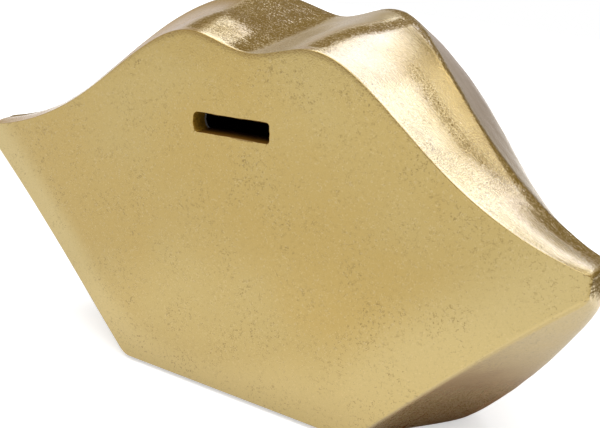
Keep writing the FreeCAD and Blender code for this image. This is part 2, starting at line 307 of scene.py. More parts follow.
def swell(x, loop, crestDepth, shrink):
    # Raises both peaks between the back edge and the crest, by a bell along the lips times the
    # squared sine of the depth, and the band towards the mouth corners in the same way.
    aside, depth, height = np.abs(x[:, None]), loop[..., 0], loop[..., 1]
    deep = np.where(x > 0, *lips["bulgeDeep"])[:, None]
    hill = bell(aside - lips["bulgeAt"], lips["bulgeWide"])
    hill = hill * np.sin(np.pi * np.clip(depth / deep, 0, 1)) ** 2 * (height > lips["bulgeAbove"])
    height += np.where(x > 0, *lips["bulge"])[:, None] * hill
    hill = np.clip(depth / crestDepth, 0, 1)
    hill = np.where(height > aboveMouth, np.sin(np.pi * hill ** lips["tipBulgeLean"]) ** 2, 0)
    toTip = np.clip((aside - lips["tipBulgeFrom"]) / lips["tipBulgeOver"], 0, 1)
    height += lips["tipBulge"] * hill * toTip * shrink[:, None]


# Where the leaf is painted brown as shade and dark reflections, and how much, from 0 to 1. Pairs are
# where a mask starts and where it is full: Along in mm of x, Deep in mm of depth, High in mm of height,
# and Band as the share of the crest's depth. The valley, painted grey as a reflection, lies between the
# peaks.
paintedDark = dict(
    crestReach=[5, 8, 4, 1.5, 8, 14], crestLeast=1.2, crestBeyond=6, lipDeep=(7, 0),
    peak=1.0, peakAlong=((-4, 4), (38, 25)), peakDeep=(11, 30), peakWhole=(14, 5),
    flecks=0.3, fleckAlong=((2, 10), (34, 24)), fleckDeep=(0, 3),
    brink=0.8, brinkAt=28.5, brinkWide=4.5, brinkDeep=(0, 5),
    flank=1.0, flankAt=26.5, flankWide=4, flankDeep=(2, 6), flankBend=0.0066,
    streak=0.31, streakBand=0.62, streakWide=0.17, streakAlong=(-46, -60),
    streakDrift=0.13, driftAlong=(-82, -104), streakLess=0.7, lessAlong=(-92, -110),
    tip=0.9, tipAlong=(-104, -121), tipBand=(0.52, 0.74),
    low=0.38, lowHigh=(52, 20), lowDeep=(1, 3), rim=0.5, rimDeep=(0.6, 0.1),
    endFace=1.05, endHigh=(85, 93), hollowAt=23, hollowAlong=((0, 5), (6, -2)),
)


def paintedDarkMasks(x, loop, crest):
    # How much painted shade and dark reflection each point gets in brown, as the largest of several masks,
    # the end faces made dark brown as well, and how much painted grey reflection it gets in the valley. The
    # crest's own painted shade falls off evenly with the distance from it.
    depth, height = loop[..., 0], loop[..., 1]
    crestDepth = crest[:, :1]
    toCrest = np.linalg.norm(loop - crest[:, None], axis=-1)
    reach = np.maximum(smoothRow(paintedDark["crestReach"], x), paintedDark["crestLeast"])
    reach = np.where(depth < crestDepth, reach[:, None], paintedDark["crestBeyond"])
    brown = np.clip(1 - toCrest / reach, 0, 1)
    upper = np.where((height > aboveMouth) & (depth > 0.01), 1, 0)
    upper = upper * fade(depth - crestDepth, *paintedDark["lipDeep"])
    inBand = np.clip(depth / crestDepth, 0, 1)
    at = x[:, None] + 0 * depth
    bend = paintedDark["flankBend"] * depth ** 2

    def along(name):
        first, last = paintedDark[name]
        return fade(at, *first) * fade(at, *last)

    peak = along("peakAlong") * np.maximum(fade(depth, *paintedDark["peakDeep"]), fade(at, *paintedDark["peakWhole"]))
    flecks = along("fleckAlong") * fade(depth, *paintedDark["fleckDeep"])
    brink = bell(at - paintedDark["brinkAt"], paintedDark["brinkWide"]) * fade(depth, *paintedDark["brinkDeep"])
    flank = bell(at + paintedDark["flankAt"] + bend, paintedDark["flankWide"]) * fade(depth, *paintedDark["flankDeep"])
    drift = paintedDark["streakDrift"] * fade(at, *paintedDark["driftAlong"])
    streak = bell(inBand - paintedDark["streakBand"] - drift, paintedDark["streakWide"]) * fade(at, *paintedDark["streakAlong"])
    streak = streak * (1 - paintedDark["streakLess"] * fade(at, *paintedDark["lessAlong"]))
    tip = fade(at, *paintedDark["tipAlong"]) * fade(inBand, *paintedDark["tipBand"])
    masks = dict(peak=peak, flecks=flecks, brink=brink, flank=flank, streak=streak, tip=tip)
    for name, mask in masks.items():
        brown = np.maximum(brown, upper * mask * paintedDark[name])
    brown = np.maximum(brown, fade(height, *paintedDark["lowHigh"]) * fade(depth, *paintedDark["lowDeep"]) * paintedDark["low"])
    brown = np.maximum(brown, upper * fade(depth, *paintedDark["rimDeep"]) * paintedDark["rim"])
    brown[[0, -1]] = paintedDark["endFace"] * fade(height[[0, -1]], *paintedDark["endHigh"])
    # the valley between the peaks, where the leaf gets a painted grey reflection
    first, last = paintedDark["hollowAlong"]
    hollow = upper * fade(at + paintedDark["hollowAt"] + bend, *first) * fade(at, *last)
    return np.stack([brown, hollow], -1)


def fromLowerEdges(x, height):
    # How far in from the base line and from the line between base and mouth corner, over the
    # reach: minus the logarithm of the sum of the two distances' exponentials.
    run, rise, soft = lips["halfWidth"] - lips["baseHalf"], lips["cornerHeight"], lips["edgeSoft"]
    fromSide = (height * run - (np.abs(x[:, None]) - lips["baseHalf"]) * rise) / math.hypot(run, rise)
    return -np.log(np.exp(-height / soft) + np.exp(-fromSide / soft)) * soft / lips["edgeReach"]


def wholeOutside():
    # The outside of the lips as closed sections along x, a little closer together at the ends, and
    # its UV maps: lie runs along and round it, edge holds how far in from the back's lower edges and
    # how much on the back a point is, crest how much painted shade and dark reflection in brown and how
    # much painted grey reflection in the valley.
    even = np.linspace(-1, 1, lips["stations"])
    x = lips["halfWidth"] * ((1 + lips["crowding"]) * even - lips["crowding"] * even ** 3)
    key = sectionKeys(x)
    loop, shrink = closedSections(x, key)
    swell(x, loop, key["crest"][:, :1], shrink)
    depth, height = loop[..., 0], loop[..., 1]
    crestMap = paintedDarkMasks(x, loop, key["crest"])

    # the back sinks towards its lower edges, and low waves lie over everything but edges and base
    points = toFrame(x[:, None], depth, height)
    fromEdge = fromLowerEdges(x, height)
    onBack = np.clip(1 - depth / lips["backDepth"], 0, 1)
    points[..., 1] -= onBack * lips["edgeSag"] * np.clip(1 - fromEdge, 0, 1) ** 2 * mm
    wavesDepth, wavesHeight, wavesTip = lips["wavesFrom"]
    free = np.clip(depth / wavesDepth, 0, 1) * np.clip((height - 1) / wavesHeight, 0, 1)
    amount = lips["waves"] * free + lips["backWaves"] * onBack * lips["backShare"]
    amount *= np.clip((lips["halfWidth"] - np.abs(x[:, None])) / wavesTip, 0, 1)
    shift = gridNormals(points) * (handWaves(points) * amount)[..., None] * mm
    points += np.where(onBack[..., None] > 0, -np.abs(shift) * [0, 1, 0], shift)

    length = np.linalg.norm(np.diff(points, axis=1, append=points[:, :1]), axis=-1).mean(0)
    around = np.concatenate([[0], np.cumsum(length)]) * 10
    further = fade(x, *lips["edgeFurther"])[:, None]
    inwards = np.clip(fromEdge * (1 + further) + (1 - onBack) * 2, 0, 2)
    return points, (x / 100, around), dict(edge=np.stack([inwards, onBack], -1), crest=crestMap)


def makeReal(piece):
    # Puts the mesh that the piece's modifiers give in the place of its own.
    bpy.context.view_layer.update()
    made = bpy.data.meshes.new_from_object(piece.evaluated_get(bpy.context.evaluated_depsgraph_get()))
    made.name = piece.name
    piece.modifiers.clear()
    old = piece.data
    piece.data = made
    bpy.data.meshes.remove(old)


def carve(piece, cutter):
    # Takes the cutter's space out of the piece, whose cut faces get the cutter's material.
    change = piece.modifiers.new("carve", "BOOLEAN")
    change.operation, change.solver, change.object = "DIFFERENCE", "EXACT", cutter
    change.material_mode = "TRANSFER"
    makeReal(piece)
    bpy.data.objects.remove(cutter)


def keepSide(piece, y, front):
    # Cut the closed form at a plane of constant Y, keep one side and close it with a face.
    shape = bmesh.new()
    shape.from_mesh(piece.data)
    cut = bmesh.ops.bisect_plane(shape, geom=shape.verts[:] + shape.edges[:] + shape.faces[:], dist=1e-7,
                                 plane_co=(0, y, 0), plane_no=(0, 1, 0),
                                 clear_outer=front, clear_inner=not front)
    edges = [e for e in cut["geom_cut"] if isinstance(e, bmesh.types.BMEdge)]
    bmesh.ops.contextual_create(shape, geom=edges)
    shape.to_mesh(piece.data)
    shape.free()


def plainMaterial(name):
    # A new material with its Principled BSDF, to be filled in below.
    finish = bpy.data.materials.new(name)
    finish.use_nodes = True
    return finish


goldFinish = plainMaterial("goldLeaf")
resinFinish = plainMaterial("rawResin")
slotFinish = plainMaterial("slotWall")

points, lie, otherMaps = wholeOutside()
shell = tube("lipsShell", points, lie, otherMaps)
turnOutwards(shell)
shell.data.materials.append(goldFinish)
panel = shell.copy()
panel.data = shell.data.copy()
panel.name = panel.data.name = "backPanel"
scene.collection.objects.link(panel)
seam = (backPlane - lips["panel"]) * mm
keepSide(shell, seam, True)
keepSide(panel, seam, False)
print("outside form", points.shape, len(shell.data.polygons), len(panel.data.polygons))

# the coin room inside, and the hole in the base with the recess for the stopper's flange
room = dict(stations=60, counts=(10, 8, 8, 8, 16), floorRound=0.5)


def roomForm():
    # The same sections moved in by the wall, flat at the inner floor and open at the seam.
    x = np.linspace(-lips["roomHalf"], lips["roomHalf"], room["stations"])
    arcs = sectionArcs(sectionKeys(x, lips["wall"]))
    loop = [bezier(arc, np.linspace(0, 1, n)[None, :-1]) for arc, n in zip(arcs, room["counts"])]
    loop = np.concatenate(loop + [bezier(arcs[-1], np.array([[1.0]]))], 1)
    loop[..., 1] = softFloor(loop[..., 1], lips["floor"], room["floorRound"])
    form = tube("roomCut", toFrame(x[:, None], loop[..., 0], loop[..., 1]))
    turnOutwards(form)
    return form


def turned(name, profile, centre, count=96):
    # Radius and height pairs turned about the vertical line through the centre, mm.
    turn = np.linspace(0, 2 * np.pi, count, endpoint=False)[None, :]
    radius, height = np.array(profile, float).T[:, :, None]
    place = [centre[0] + radius * np.cos(turn), centre[1] + radius * np.sin(turn), height + 0 * turn]
    form = tube(name, np.stack(place, -1) * mm)
    turnOutwards(form)
    return form


hole = dict(centre=(0, 9), radius=19, recess=23.5, bevel=0.5, flare=0.8,
            heights=dict(start=1.0, flareFoot=2.0, flareTop=2.6, recessTop=5.5, end=12))


def holeForm():
    # A recess that flares at its foot, a small bevel, and the hole above it.
    narrow, wide, bevel, h = hole["radius"], hole["recess"], hole["bevel"], hole["heights"]
    profile = [(wide + hole["flare"], h["start"]), (wide + hole["flare"], h["flareFoot"]),
               (wide, h["flareTop"]), (wide, h["recessTop"]), (narrow + bevel, h["recessTop"]),
               (narrow, h["recessTop"] + bevel), (narrow, h["end"])]
    return turned("holeCut", profile, hole["centre"])


for makeCutter in (roomForm, holeForm):
    cutter = makeCutter()
    cutter.data.materials.append(resinFinish)
    carve(shell, cutter)
print("room and hole", len(shell.data.polygons))

# the coin slot: its corners' radii at -X low and high and at +X low and high, the depths behind its
# rounded mouth and how much wider it is at each
slot = dict(centre=(6, 120.7), length=36, width=7.8, corners=(1.2, 1.6, 2.4, 2.4), tilt=2.5,
            wobble=0.16, mouth=0.42, above=1.5, depths=(4, 7, 13), wider=(0, -0.1, -0.1))


def slotForm():
    # A rounded rectangle whose four corners have their own radii, a little uneven along its sides,
    # carried through the panel and flared round at the mouth.
    a, b = slot["length"] / 2, slot["width"] / 2
    lowLeft, highLeft, lowRight, highRight = slot["corners"]
    outline, ways = [], []
    quarters = [(-1, -1, 180, lowLeft), (1, -1, 270, lowRight), (1, 1, 0, highRight), (-1, 1, 90, highLeft)]
    for sx, sz, start, r in quarters:
        turn = np.radians(start + np.linspace(0, 90, 9))
        way = np.stack([np.cos(turn), np.sin(turn)], -1)
        outline.append(np.array([sx * (a - r), sz * (b - r)]) + way * r)
        ways.append(way)

    corner = np.concatenate(outline)
    way = np.concatenate(ways)
    nextOne, nextWay = np.roll(corner, -1, 0), np.roll(way, -1, 0)
    split = np.linspace(0, 1, 8, endpoint=False)[None, :, None]
    ring = (corner[:, None] + (nextOne - corner)[:, None] * split).reshape(-1, 2)
    way = (way[:, None] + (nextWay - way)[:, None] * split).reshape(-1, 2)
    x, z = ring.T
    uneven = np.sin(x * 0.55 + z) * np.cos(z * 0.9 - 1.1) + 0.6 * np.sin(x * 1.7 + z * 0.8 + 2)
    ring = ring + way * (uneven * slot["wobble"])[:, None]
    m = slot["mouth"]
    flare = np.radians(np.linspace(0, 90, 6))
    depths = np.concatenate([[-slot["above"]], m - m * np.cos(flare), slot["depths"]])
    widths = np.concatenate([[m], m - m * np.sin(flare), slot["wider"]])
    rings = ring[None] + way[None] * widths[:, None, None]
    tilt = math.radians(slot["tilt"])
    x = slot["centre"][0] + rings[..., 0] * math.cos(tilt) + rings[..., 1] * math.sin(tilt)
    z = slot["centre"][1] - rings[..., 0] * math.sin(tilt) + rings[..., 1] * math.cos(tilt)
    form = tube("slotCut", np.stack([x, backPlane - depths[:, None] + 0 * x, z], -1) * mm)
    turnOutwards(form)
    return form


slotCut = slotForm()
slotCut.data.materials.append(slotFinish)
carve(panel, slotCut)
print("slot", len(panel.data.polygons))

for piece, node, finish in ((shell, "lips_casting", "gilded_resin"), (panel, "back_panel", "gilded_panel")):
    piece.data.shade_smooth()
    piece.data.set_sharp_from_angle(angle=math.radians(32))
    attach(piece, "money_box")
    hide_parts(node)

# the rubber stopper, its depths and heights in mm above its underside, which is at under
stopper = dict(under=2.5, flange=23, flangeThick=3, core=18.3, top=17, bore=15.3, web=3.8,
               rib=18.9, ribAt=(7.2, 12.2), ribHalf=0.8, ribSlope=0.3, dish=14, dishDepth=1.8,
               bar=(29.8, 6, 2.8), barEnd=18, barSquare=5, barWaist=0.12, facets=128)


def stopperForm():
    # Profile from the middle of the dish out over the flange, up the ribbed plug and down its bore,
    # with every corner eased by a few tenths.
    dish, flange, core, rib, bore = [stopper[name] for name in ("dish", "flange", "core", "rib", "bore")]
    deep, thick, top, web = [stopper[name] for name in ("dishDepth", "flangeThick", "top", "web")]
    outer = [(0.01, deep), (dish - 1.2, deep), (dish - 0.5, deep - 0.35), (dish, 0.5), (dish + 0.4, 0.1),
             (dish + 1, 0), (flange - 1, 0), (flange - 0.35, 0.2), (flange, 0.8), (flange, thick - 0.6),
             (flange - 0.25, thick - 0.15), (flange - 0.8, thick), (core + 0.3, thick), (core, thick + 0.4)]
    for at in stopper["ribAt"]:
        low = at - stopper["ribHalf"] - stopper["ribSlope"]
        high = at + stopper["ribHalf"] + stopper["ribSlope"]
        outer += [(core, low - 0.3), (rib - 0.15, low + 0.3), (rib, at - 0.3),
                  (rib, at + 0.3), (rib - 0.15, high - 0.3), (core, high + 0.3)]
    outer += [(core, top - 1), (core - 0.3, top - 0.3), (core - 1, top), (bore + 0.5, top),
              (bore, top - 0.5), (bore, web + 1), (bore - 0.3, web + 0.3), (bore - 1, web), (0.01, web)]
    profile = [(radius, height + stopper["under"]) for radius, height in outer]
    return turned("coinStopper", profile, hole["centre"], stopper["facets"])


def pullBar():
    # A bar whose section and ends are rounded: a superellipse drawn in at its ends, and a little
    # narrower in the middle by a squared cosine.
    length, width, height = stopper["bar"]
    power = stopper["barSquare"]
    s = np.linspace(-1, 1, 41)[:, None]
    turn = np.linspace(0, 2 * np.pi, 33)[None, :-1]
    end = np.clip(1 - np.abs(s) ** stopper["barEnd"], 0.02, 1) ** 0.5
    square = (np.abs(np.cos(turn)) ** power + np.abs(np.sin(turn)) ** power) ** (-1 / power)
    waist = 1 - stopper["barWaist"] * np.cos(s * np.pi / 2) ** 2
    x = s * length / 2 + 0 * turn
    y = hole["centre"][1] + width / 2 * end * waist * square * np.cos(turn)
    z = stopper["under"] + height / 2 * (1 + end * square * np.sin(turn))
    form = tube("pullBar", np.stack(np.broadcast_arrays(x, y, z), -1) * mm)
    turnOutwards(form)
    return form


def joined(pieces):
    # All the pieces' meshes as one mesh object.
    shape = bmesh.new()
    for piece in pieces:
        shape.from_mesh(piece.data)
    shape.to_mesh(pieces[0].data)
    shape.free()
    for piece in pieces[1:]:
        bpy.data.objects.remove(piece)
    return pieces[0]


rubber = plainMaterial("stopperRubber")
plug = joined([stopperForm(), pullBar()])
plug.data.materials.append(rubber)
plug.data.shade_smooth()
plug.data.set_sharp_from_angle(angle=math.radians(50))
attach(plug, "stopper")
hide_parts("coin_stopper")

# the felt pads under the base, each where its CAD solid is
pad = dict(radius=7, height=2, edge=0.4, facets=64,
           nodes=("foot_pad_back_left", "foot_pad_back_right",
                  "foot_pad_front_left", "foot_pad_front_right"))


def padForm(node):
    # A disc with its lower edge rounded and its upper edge eased, turned about the box's middle.
    lowest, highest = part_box(node)
    centre = ((lowest.x + highest.x) / 2 / mm, (lowest.y + highest.y) / 2 / mm)
    r, h, e = pad["radius"], pad["height"], pad["edge"]
    profile = [(0.01, 0), (r - e, 0), (r - 0.12, 0.15), (r, e), (r, h - 0.05), (r - 0.1, h), (0.01, h)]
    return turned(node.replace("foot_pad", "felt"), profile, centre, pad["facets"])


felt = plainMaterial("feltPad")
for node in pad["nodes"]:
    disc = padForm(node)
    disc.data.materials.append(felt)
    disc.data.shade_smooth()
    disc.data.set_sharp_from_angle(angle=math.radians(40))
    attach(disc, "money_box")
    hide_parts(node)
print("stopper and pads")


# From here on the finishes: first short ways to make node groups and nodes.
def group(name, inputs, outputs):
    # A shader node group with its named sockets, and its own input and output nodes.
    made = bpy.data.node_groups.new(name, "ShaderNodeTree")
    for label, kind, value in inputs:
        socket = made.interface.new_socket(label, in_out="INPUT", socket_type=kind)
        if value is not None:
            socket.default_value = value
    for label, kind in outputs:
        made.interface.new_socket(label, in_out="OUTPUT", socket_type=kind)
    return made, made.nodes.new("NodeGroupInput"), made.nodes.new("NodeGroupOutput")


def feed(tree, value, socket):
    # Links another socket to this one, or sets a plain value on it.
    if isinstance(value, bpy.types.NodeSocket):
        tree.links.new(value, socket)
    else:
        socket.default_value = value


def add(tree, kind, **values):
    # A node with its settings, plain values for its sockets and links from other sockets.
    # The names i0, i1 and so on stand for its sockets by number.
    node = tree.nodes.new(kind)
    for key, value in values.items():
        if hasattr(node, key) and key not in node.inputs:
            setattr(node, key, value)
            continue
        numbered = key[0] == "i" and key[1:].isdigit()
        feed(tree, value, node.inputs[int(key[1:])] if numbered else node.inputs[key])
    return node


def maths(tree, operation, a, b=0.5, c=None):
    # The output of one maths node.
    node = add(tree, "ShaderNodeMath", operation=operation, i0=a, i1=b)
    if c is not None:
        feed(tree, c, node.inputs[2])
    return node.outputs[0]


def times(tree, first, *others):
    # The product of all of them.
    for other in others:
        first = maths(tree, "MULTIPLY", first, other)
    return first


def between(tree, value, low, high, toLow=0.0, toHigh=1.0):
    # A smooth step from toLow at low to toHigh at high.
    node = add(tree, "ShaderNodeMapRange", interpolation_type="SMOOTHSTEP")
    tree.links.new(value, node.inputs["Value"])
    for label, amount in (("From Min", low), ("From Max", high), ("To Min", toLow), ("To Max", toHigh)):
        node.inputs[label].default_value = amount
    return node.outputs["Result"]


def noise(tree, vector, scale, detail=3.0, rough=0.55, distort=0.0):
    # A grey noise around one half.
    node = add(tree, "ShaderNodeTexNoise", Scale=scale, Detail=detail, Roughness=rough, Distortion=distort)
    tree.links.new(vector, node.inputs["Vector"])
    return node.outputs["Fac"]


def mixColour(tree, factor, a, b, blend="MIX"):
    # From a at factor 0 to b at factor 1.
    node = add(tree, "ShaderNodeMix", data_type="RGBA", blend_type=blend)
    for value, socket in ((factor, node.inputs[0]), (a, node.inputs[6]), (b, node.inputs[7])):
        feed(tree, value, socket)
    return node.outputs[2]


def axes(tree, vector):
    return add(tree, "ShaderNodeSeparateXYZ", i0=vector).outputs


def uvMap(tree, name):
    return add(tree, "ShaderNodeUVMap", uv_map=name).outputs["UV"]


def bumped(tree, height, distance):
    # Turns the height into the normal of the material's shader.
    bump = add(tree, "ShaderNodeBump", Strength=1.0, Distance=distance)
    tree.links.new(height, bump.inputs["Height"])
    tree.links.new(bump.outputs[0], tree.nodes["Principled BSDF"].inputs["Normal"])


leafMarks = dict(fibreScale=520.0, fibreTwist=1.8, fibreEdge=(0.012, 0.04), gapScale=700.0,
                 gapEdge=(0.5, 0.6), patchScale=58.0, patchEdge=(0.42, 0.66), patchShare=0.75,
                 fineScale=1300.0, pitEdge=(0.72, 0.8), pitShare=0.4, lightTwist=0.8, lightEdge=(0.58, 0.7))


def markGroup():
    # Fibre-like dark marks: thin lines where a noise crosses its middle, broken up by a second one
    # and thinned out between loose patches; dust-like pits, and short light marks.
    m = leafMarks
    tree, enter, leave = group(
        "leafMarks",
        [("Place", "NodeSocketVector", None), ("Fibre Scale", "NodeSocketFloat", m["fibreScale"]),
         ("Patch Scale", "NodeSocketFloat", m["patchScale"])],
        [("Dark", "NodeSocketFloat"), ("Light", "NodeSocketFloat")])
    place = enter.outputs["Place"]
    fibre = noise(tree, place, enter.outputs["Fibre Scale"], 2.0, 0.5, m["fibreTwist"])
    fibre = maths(tree, "ABSOLUTE", maths(tree, "SUBTRACT", fibre, 0.5))
    fibre = between(tree, fibre, *m["fibreEdge"], 1.0, 0.0)
    unbroken = between(tree, noise(tree, place, m["gapScale"], 1.0), *m["gapEdge"])
    patch = between(tree, noise(tree, place, enter.outputs["Patch Scale"], 3.0, 0.6), *m["patchEdge"])
    inPatch = maths(tree, "MULTIPLY_ADD", patch, m["patchShare"], 1 - m["patchShare"])
    pits = between(tree, noise(tree, place, m["fineScale"], 0.0), *m["pitEdge"])
    dark = maths(tree, "MAXIMUM", times(tree, fibre, unbroken, inPatch), times(tree, pits, m["pitShare"]))
    light = between(tree, noise(tree, place, m["fineScale"], 1.0, 0.5, m["lightTwist"]), *m["lightEdge"])
    tree.links.new(dark, leave.inputs["Dark"])
    tree.links.new(light, leave.inputs["Light"])
    return tree


leafGrain = dict(fineScale=1500.0, coarseScale=300.0, coarseShare=0.15,
                 strokeScale=(14.0, 240.0, 1.0), strokes=0.5)


def grainGroup():
    # One height from a fine noise, some of a coarse one and the strokes of the brush, a noise drawn
    # out along the UV map.
    g = leafGrain
    tree, enter, leave = group(
        "leafGrain",
        [("Place", "NodeSocketVector", None), ("Lie", "NodeSocketVector", None),
         ("Strokes", "NodeSocketFloat", g["strokes"])],
        [("Height", "NodeSocketFloat"), ("Stroke", "NodeSocketFloat")])
    fine = noise(tree, enter.outputs["Place"], g["fineScale"], 2.0, 0.6)
    coarse = noise(tree, enter.outputs["Place"], g["coarseScale"], 3.0, 0.5)
    drawn = add(tree, "ShaderNodeMapping", i0=enter.outputs["Lie"], i3=g["strokeScale"])
    stroke = noise(tree, drawn.outputs[0], 1.0, 3.0, 0.6)
    height = maths(tree, "ADD", times(tree, coarse, g["coarseShare"]), fine)
    height = maths(tree, "ADD", height, times(tree, stroke, enter.outputs["Strokes"]))
    tree.links.new(height, leave.inputs["Height"])
    tree.links.new(stroke, leave.inputs["Stroke"])
    return tree


def putGroup(tree, source, **values):
    # The group as a node of the tree, its inputs given by name.
    node = tree.nodes.new("ShaderNodeGroup")
    node.node_tree = source
    for key, value in values.items():
        feed(tree, value, node.inputs[key])
    return node.outputs


marks, grain = markGroup(), grainGroup()

# The gilding. Amounts said to be by a mask are multiplied by that mask. The brown mask is painted shade
# and dark reflections, shown where the grain lets it; the valley's mask is a painted grey reflection; back
# is how much on the back a point is.
gold = dict(
    leaf=(0.49, 0.368, 0.14, 1), warm=(0.48, 0.34, 0.11, 1), paintedFloorReflection=(0.55, 0.425, 0.18, 1),
    brown=(0.135, 0.078, 0.012, 1), hollow=(0.33, 0.29, 0.22, 1), veil=(0.9, 0.86, 0.8, 1),
    darkMark=(0.23, 0.155, 0.05, 1), lightMark=(0.66, 0.52, 0.27, 1), grazing=(1, 0.93, 0.82, 1),
    cloudScale=14.0, cloudEdge=(0.35, 0.65), paleEdge=(0.5, 1.35), paleCloud=0.25, hollowShare=0.45,
    darkShare=(0.85, 0.3), darkByBrown=(0.0, 0.5), lightShare=0.36, lightByBrown=0.02,
    shadeSlope=3.0, shadeMiddle=0.92, shadeOffset=0.75, shadeEdge=(0.12, 0.5), shadeMost=0.92,
    bareEdge=(1.0, 1.4), veilShare=0.8, veilByShade=-0.85, veilByHollow=-1.2, veilPower=3.0,
    dullByShade=0.8, roughness=0.13, roughStroke=0.12, roughBrown=0.14, roughBrownBy=0.35, roughByShade=0.2,
    coat=0.35, coatRoughness=0.15, strokes=0.7, strokesByBack=-0.65,
    bump=0.000075, bumpByBrown=0.5, bumpByBack=-0.45,
)


def gildedLook(finish):
    # Leaf in two golds, lighter towards the back's lower edges as a painted reflection of the floor, with
    # marks, the valley's painted grey reflection, brown as painted shade and dark reflections where the
    # grain lets it show, and a lacquer over it.
    tree, g = finish.node_tree, gold
    skin = tree.nodes["Principled BSDF"]

    def offset(value, slope, constant):
        return maths(tree, "MULTIPLY_ADD", value, slope, constant)

    where = add(tree, "ShaderNodeTexCoord").outputs["Object"]
    spots = putGroup(tree, marks, Place=where)
    edge = axes(tree, uvMap(tree, "edge"))
    inwards, onBack = edge["X"], edge["Y"]
    relief = putGroup(tree, grain, Place=where, Lie=uvMap(tree, "lie"),
                      Strokes=offset(onBack, g["strokesByBack"], g["strokes"]))
    crest = axes(tree, uvMap(tree, "crest"))
    brown, hollow = crest["X"], times(tree, crest["Y"], g["hollowShare"])

    cloud = between(tree, noise(tree, where, g["cloudScale"], 3.0, 0.5), *g["cloudEdge"])
    colour = mixColour(tree, cloud, g["warm"], g["leaf"])
    # lighter towards the back's lower edges: a painted reflection of the bright floor close behind the back
    floorReflectionShare = between(tree, offset(cloud, g["paleCloud"], inwards), *g["paleEdge"], 1.0, 0.0)
    colour = mixColour(tree, floorReflectionShare, colour, g["paintedFloorReflection"])
    marked = times(tree, spots["Dark"], between(tree, brown, *g["darkByBrown"], *g["darkShare"]))
    colour = mixColour(tree, marked, colour, g["darkMark"])
    # the valley painted grey: a painted reflection, which also dulls the leaf there
    colour = mixColour(tree, hollow, colour, g["hollow"])
    # painted shade and dark reflections: the brown mask shows through the leaf where the grain lets it
    paintedDarkGrain = offset(relief["Height"], g["shadeSlope"], g["shadeOffset"] - g["shadeMiddle"] * g["shadeSlope"])
    paintedDarkGrain = between(tree, times(tree, paintedDarkGrain, brown), *g["shadeEdge"], 0.0, g["shadeMost"])
    colour = mixColour(tree, paintedDarkGrain, colour, g["brown"])
    sparkle = times(tree, spots["Light"], offset(brown, g["lightByBrown"], g["lightShare"]))
    colour = mixColour(tree, sparkle, colour, g["lightMark"])

    # the lacquer pales the leaf where it is seen aslant: the cube of one less the facing cosine
    aslant = add(tree, "ShaderNodeLayerWeight", Blend=0.5).outputs["Facing"]
    veiled = offset(paintedDarkGrain, g["veilByShade"], offset(hollow, g["veilByHollow"], g["veilShare"]))
    aslant = times(tree, maths(tree, "POWER", aslant, g["veilPower"]), veiled)
    tree.links.new(mixColour(tree, aslant, colour, g["veil"]), skin.inputs["Base Color"])

    bare = between(tree, brown, *g["bareEdge"])
    dull = maths(tree, "MAXIMUM", times(tree, paintedDarkGrain, g["dullByShade"]), maths(tree, "MAXIMUM", bare, hollow))
    tree.links.new(maths(tree, "SUBTRACT", 1.0, dull), skin.inputs["Metallic"])
    rough = offset(relief["Stroke"], g["roughStroke"], g["roughness"] - g["roughStroke"] / 2)
    rough = maths(tree, "ADD", rough, between(tree, brown, 0.0, g["roughBrownBy"], 0.0, g["roughBrown"]))
    tree.links.new(offset(paintedDarkGrain, g["roughByShade"], rough), skin.inputs["Roughness"])
    tree.links.new(offset(paintedDarkGrain, -g["coat"], g["coat"]), skin.inputs["Coat Weight"])
    skin.inputs["Coat Roughness"].default_value = g["coatRoughness"]
    skin.inputs["Specular IOR Level"].default_value = 0.0
    skin.inputs["Specular Tint"].default_value = g["grazing"]
    raised = times(tree, relief["Height"], offset(brown, g["bumpByBrown"], 1.0))
    bumped(tree, times(tree, raised, offset(onBack, g["bumpByBack"], 1.0)), g["bump"])


gildedLook(goldFinish)

# the slot's wall: a tone from deep to mouth, overspray at the mouth and painted shade deeper in, and a grey
# rim at the room's side, in metres of Y, and the end at +X, which is lighter, in metres of X
slotWall = dict(mottleScale=500.0, mottleShift=0.004, mouthToDeep=(0.0465, 0.0545), endFrom=(0.0205, 0.0228),
                endTones=((0.085, 0.036, 0.002, 1), (0.36, 0.2, 0.02, 1)),
                rim=(0.0474, 0.0468), rimTone=(0.32, 0.32, 0.3, 1),
                sideTones=((0.02, 0.008, 0.003, 1), (0.11, 0.048, 0.004, 1)),
                specular=0.1, roughness=0.6, bump=0.0004)


def slotLook(finish):
    # Gold-brown overspray at the mouth, going to dark umber deeper in as painted shade.
    tree, w = finish.node_tree, slotWall
    skin = tree.nodes["Principled BSDF"]
    where = add(tree, "ShaderNodeTexCoord").outputs["Object"]
    place = axes(tree, where)
    mottle = noise(tree, where, w["mottleScale"], 3.0, 0.6)
    depth = times(tree, maths(tree, "SUBTRACT", mottle, 0.5), w["mottleShift"])
    depth = maths(tree, "ADD", place["Y"], depth)
    end = mixColour(tree, mottle, *w["endTones"])
    end = mixColour(tree, between(tree, place["Y"], *w["rim"]), end, w["rimTone"])
    # the sides darken deeper into the slot: painted shade
    side = mixColour(tree, between(tree, depth, *w["mouthToDeep"]), *w["sideTones"])
    atEnd = between(tree, place["X"], *w["endFrom"])
    tree.links.new(mixColour(tree, atEnd, side, end), skin.inputs["Base Color"])
    skin.inputs["Specular IOR Level"].default_value = w["specular"]
    skin.inputs["Roughness"].default_value = w["roughness"]
    bumped(tree, mottle, w["bump"])


slotLook(slotFinish)

# dull finishes: two tones, the scale of their noise, roughness and relief in metres
dullFinishes = {
    resinFinish: ((0.035, 0.016, 0.008, 1), (0.06, 0.03, 0.014, 1), 180.0, 0.7, 0.0004),
    rubber: ((0.012, 0.012, 0.012, 1), (0.022, 0.021, 0.02, 1), 900.0, 0.55, 0.00005),
    felt: ((0.018, 0.017, 0.017, 1), (0.05, 0.048, 0.046, 1), 2600.0, 0.95, 0.0002),
}


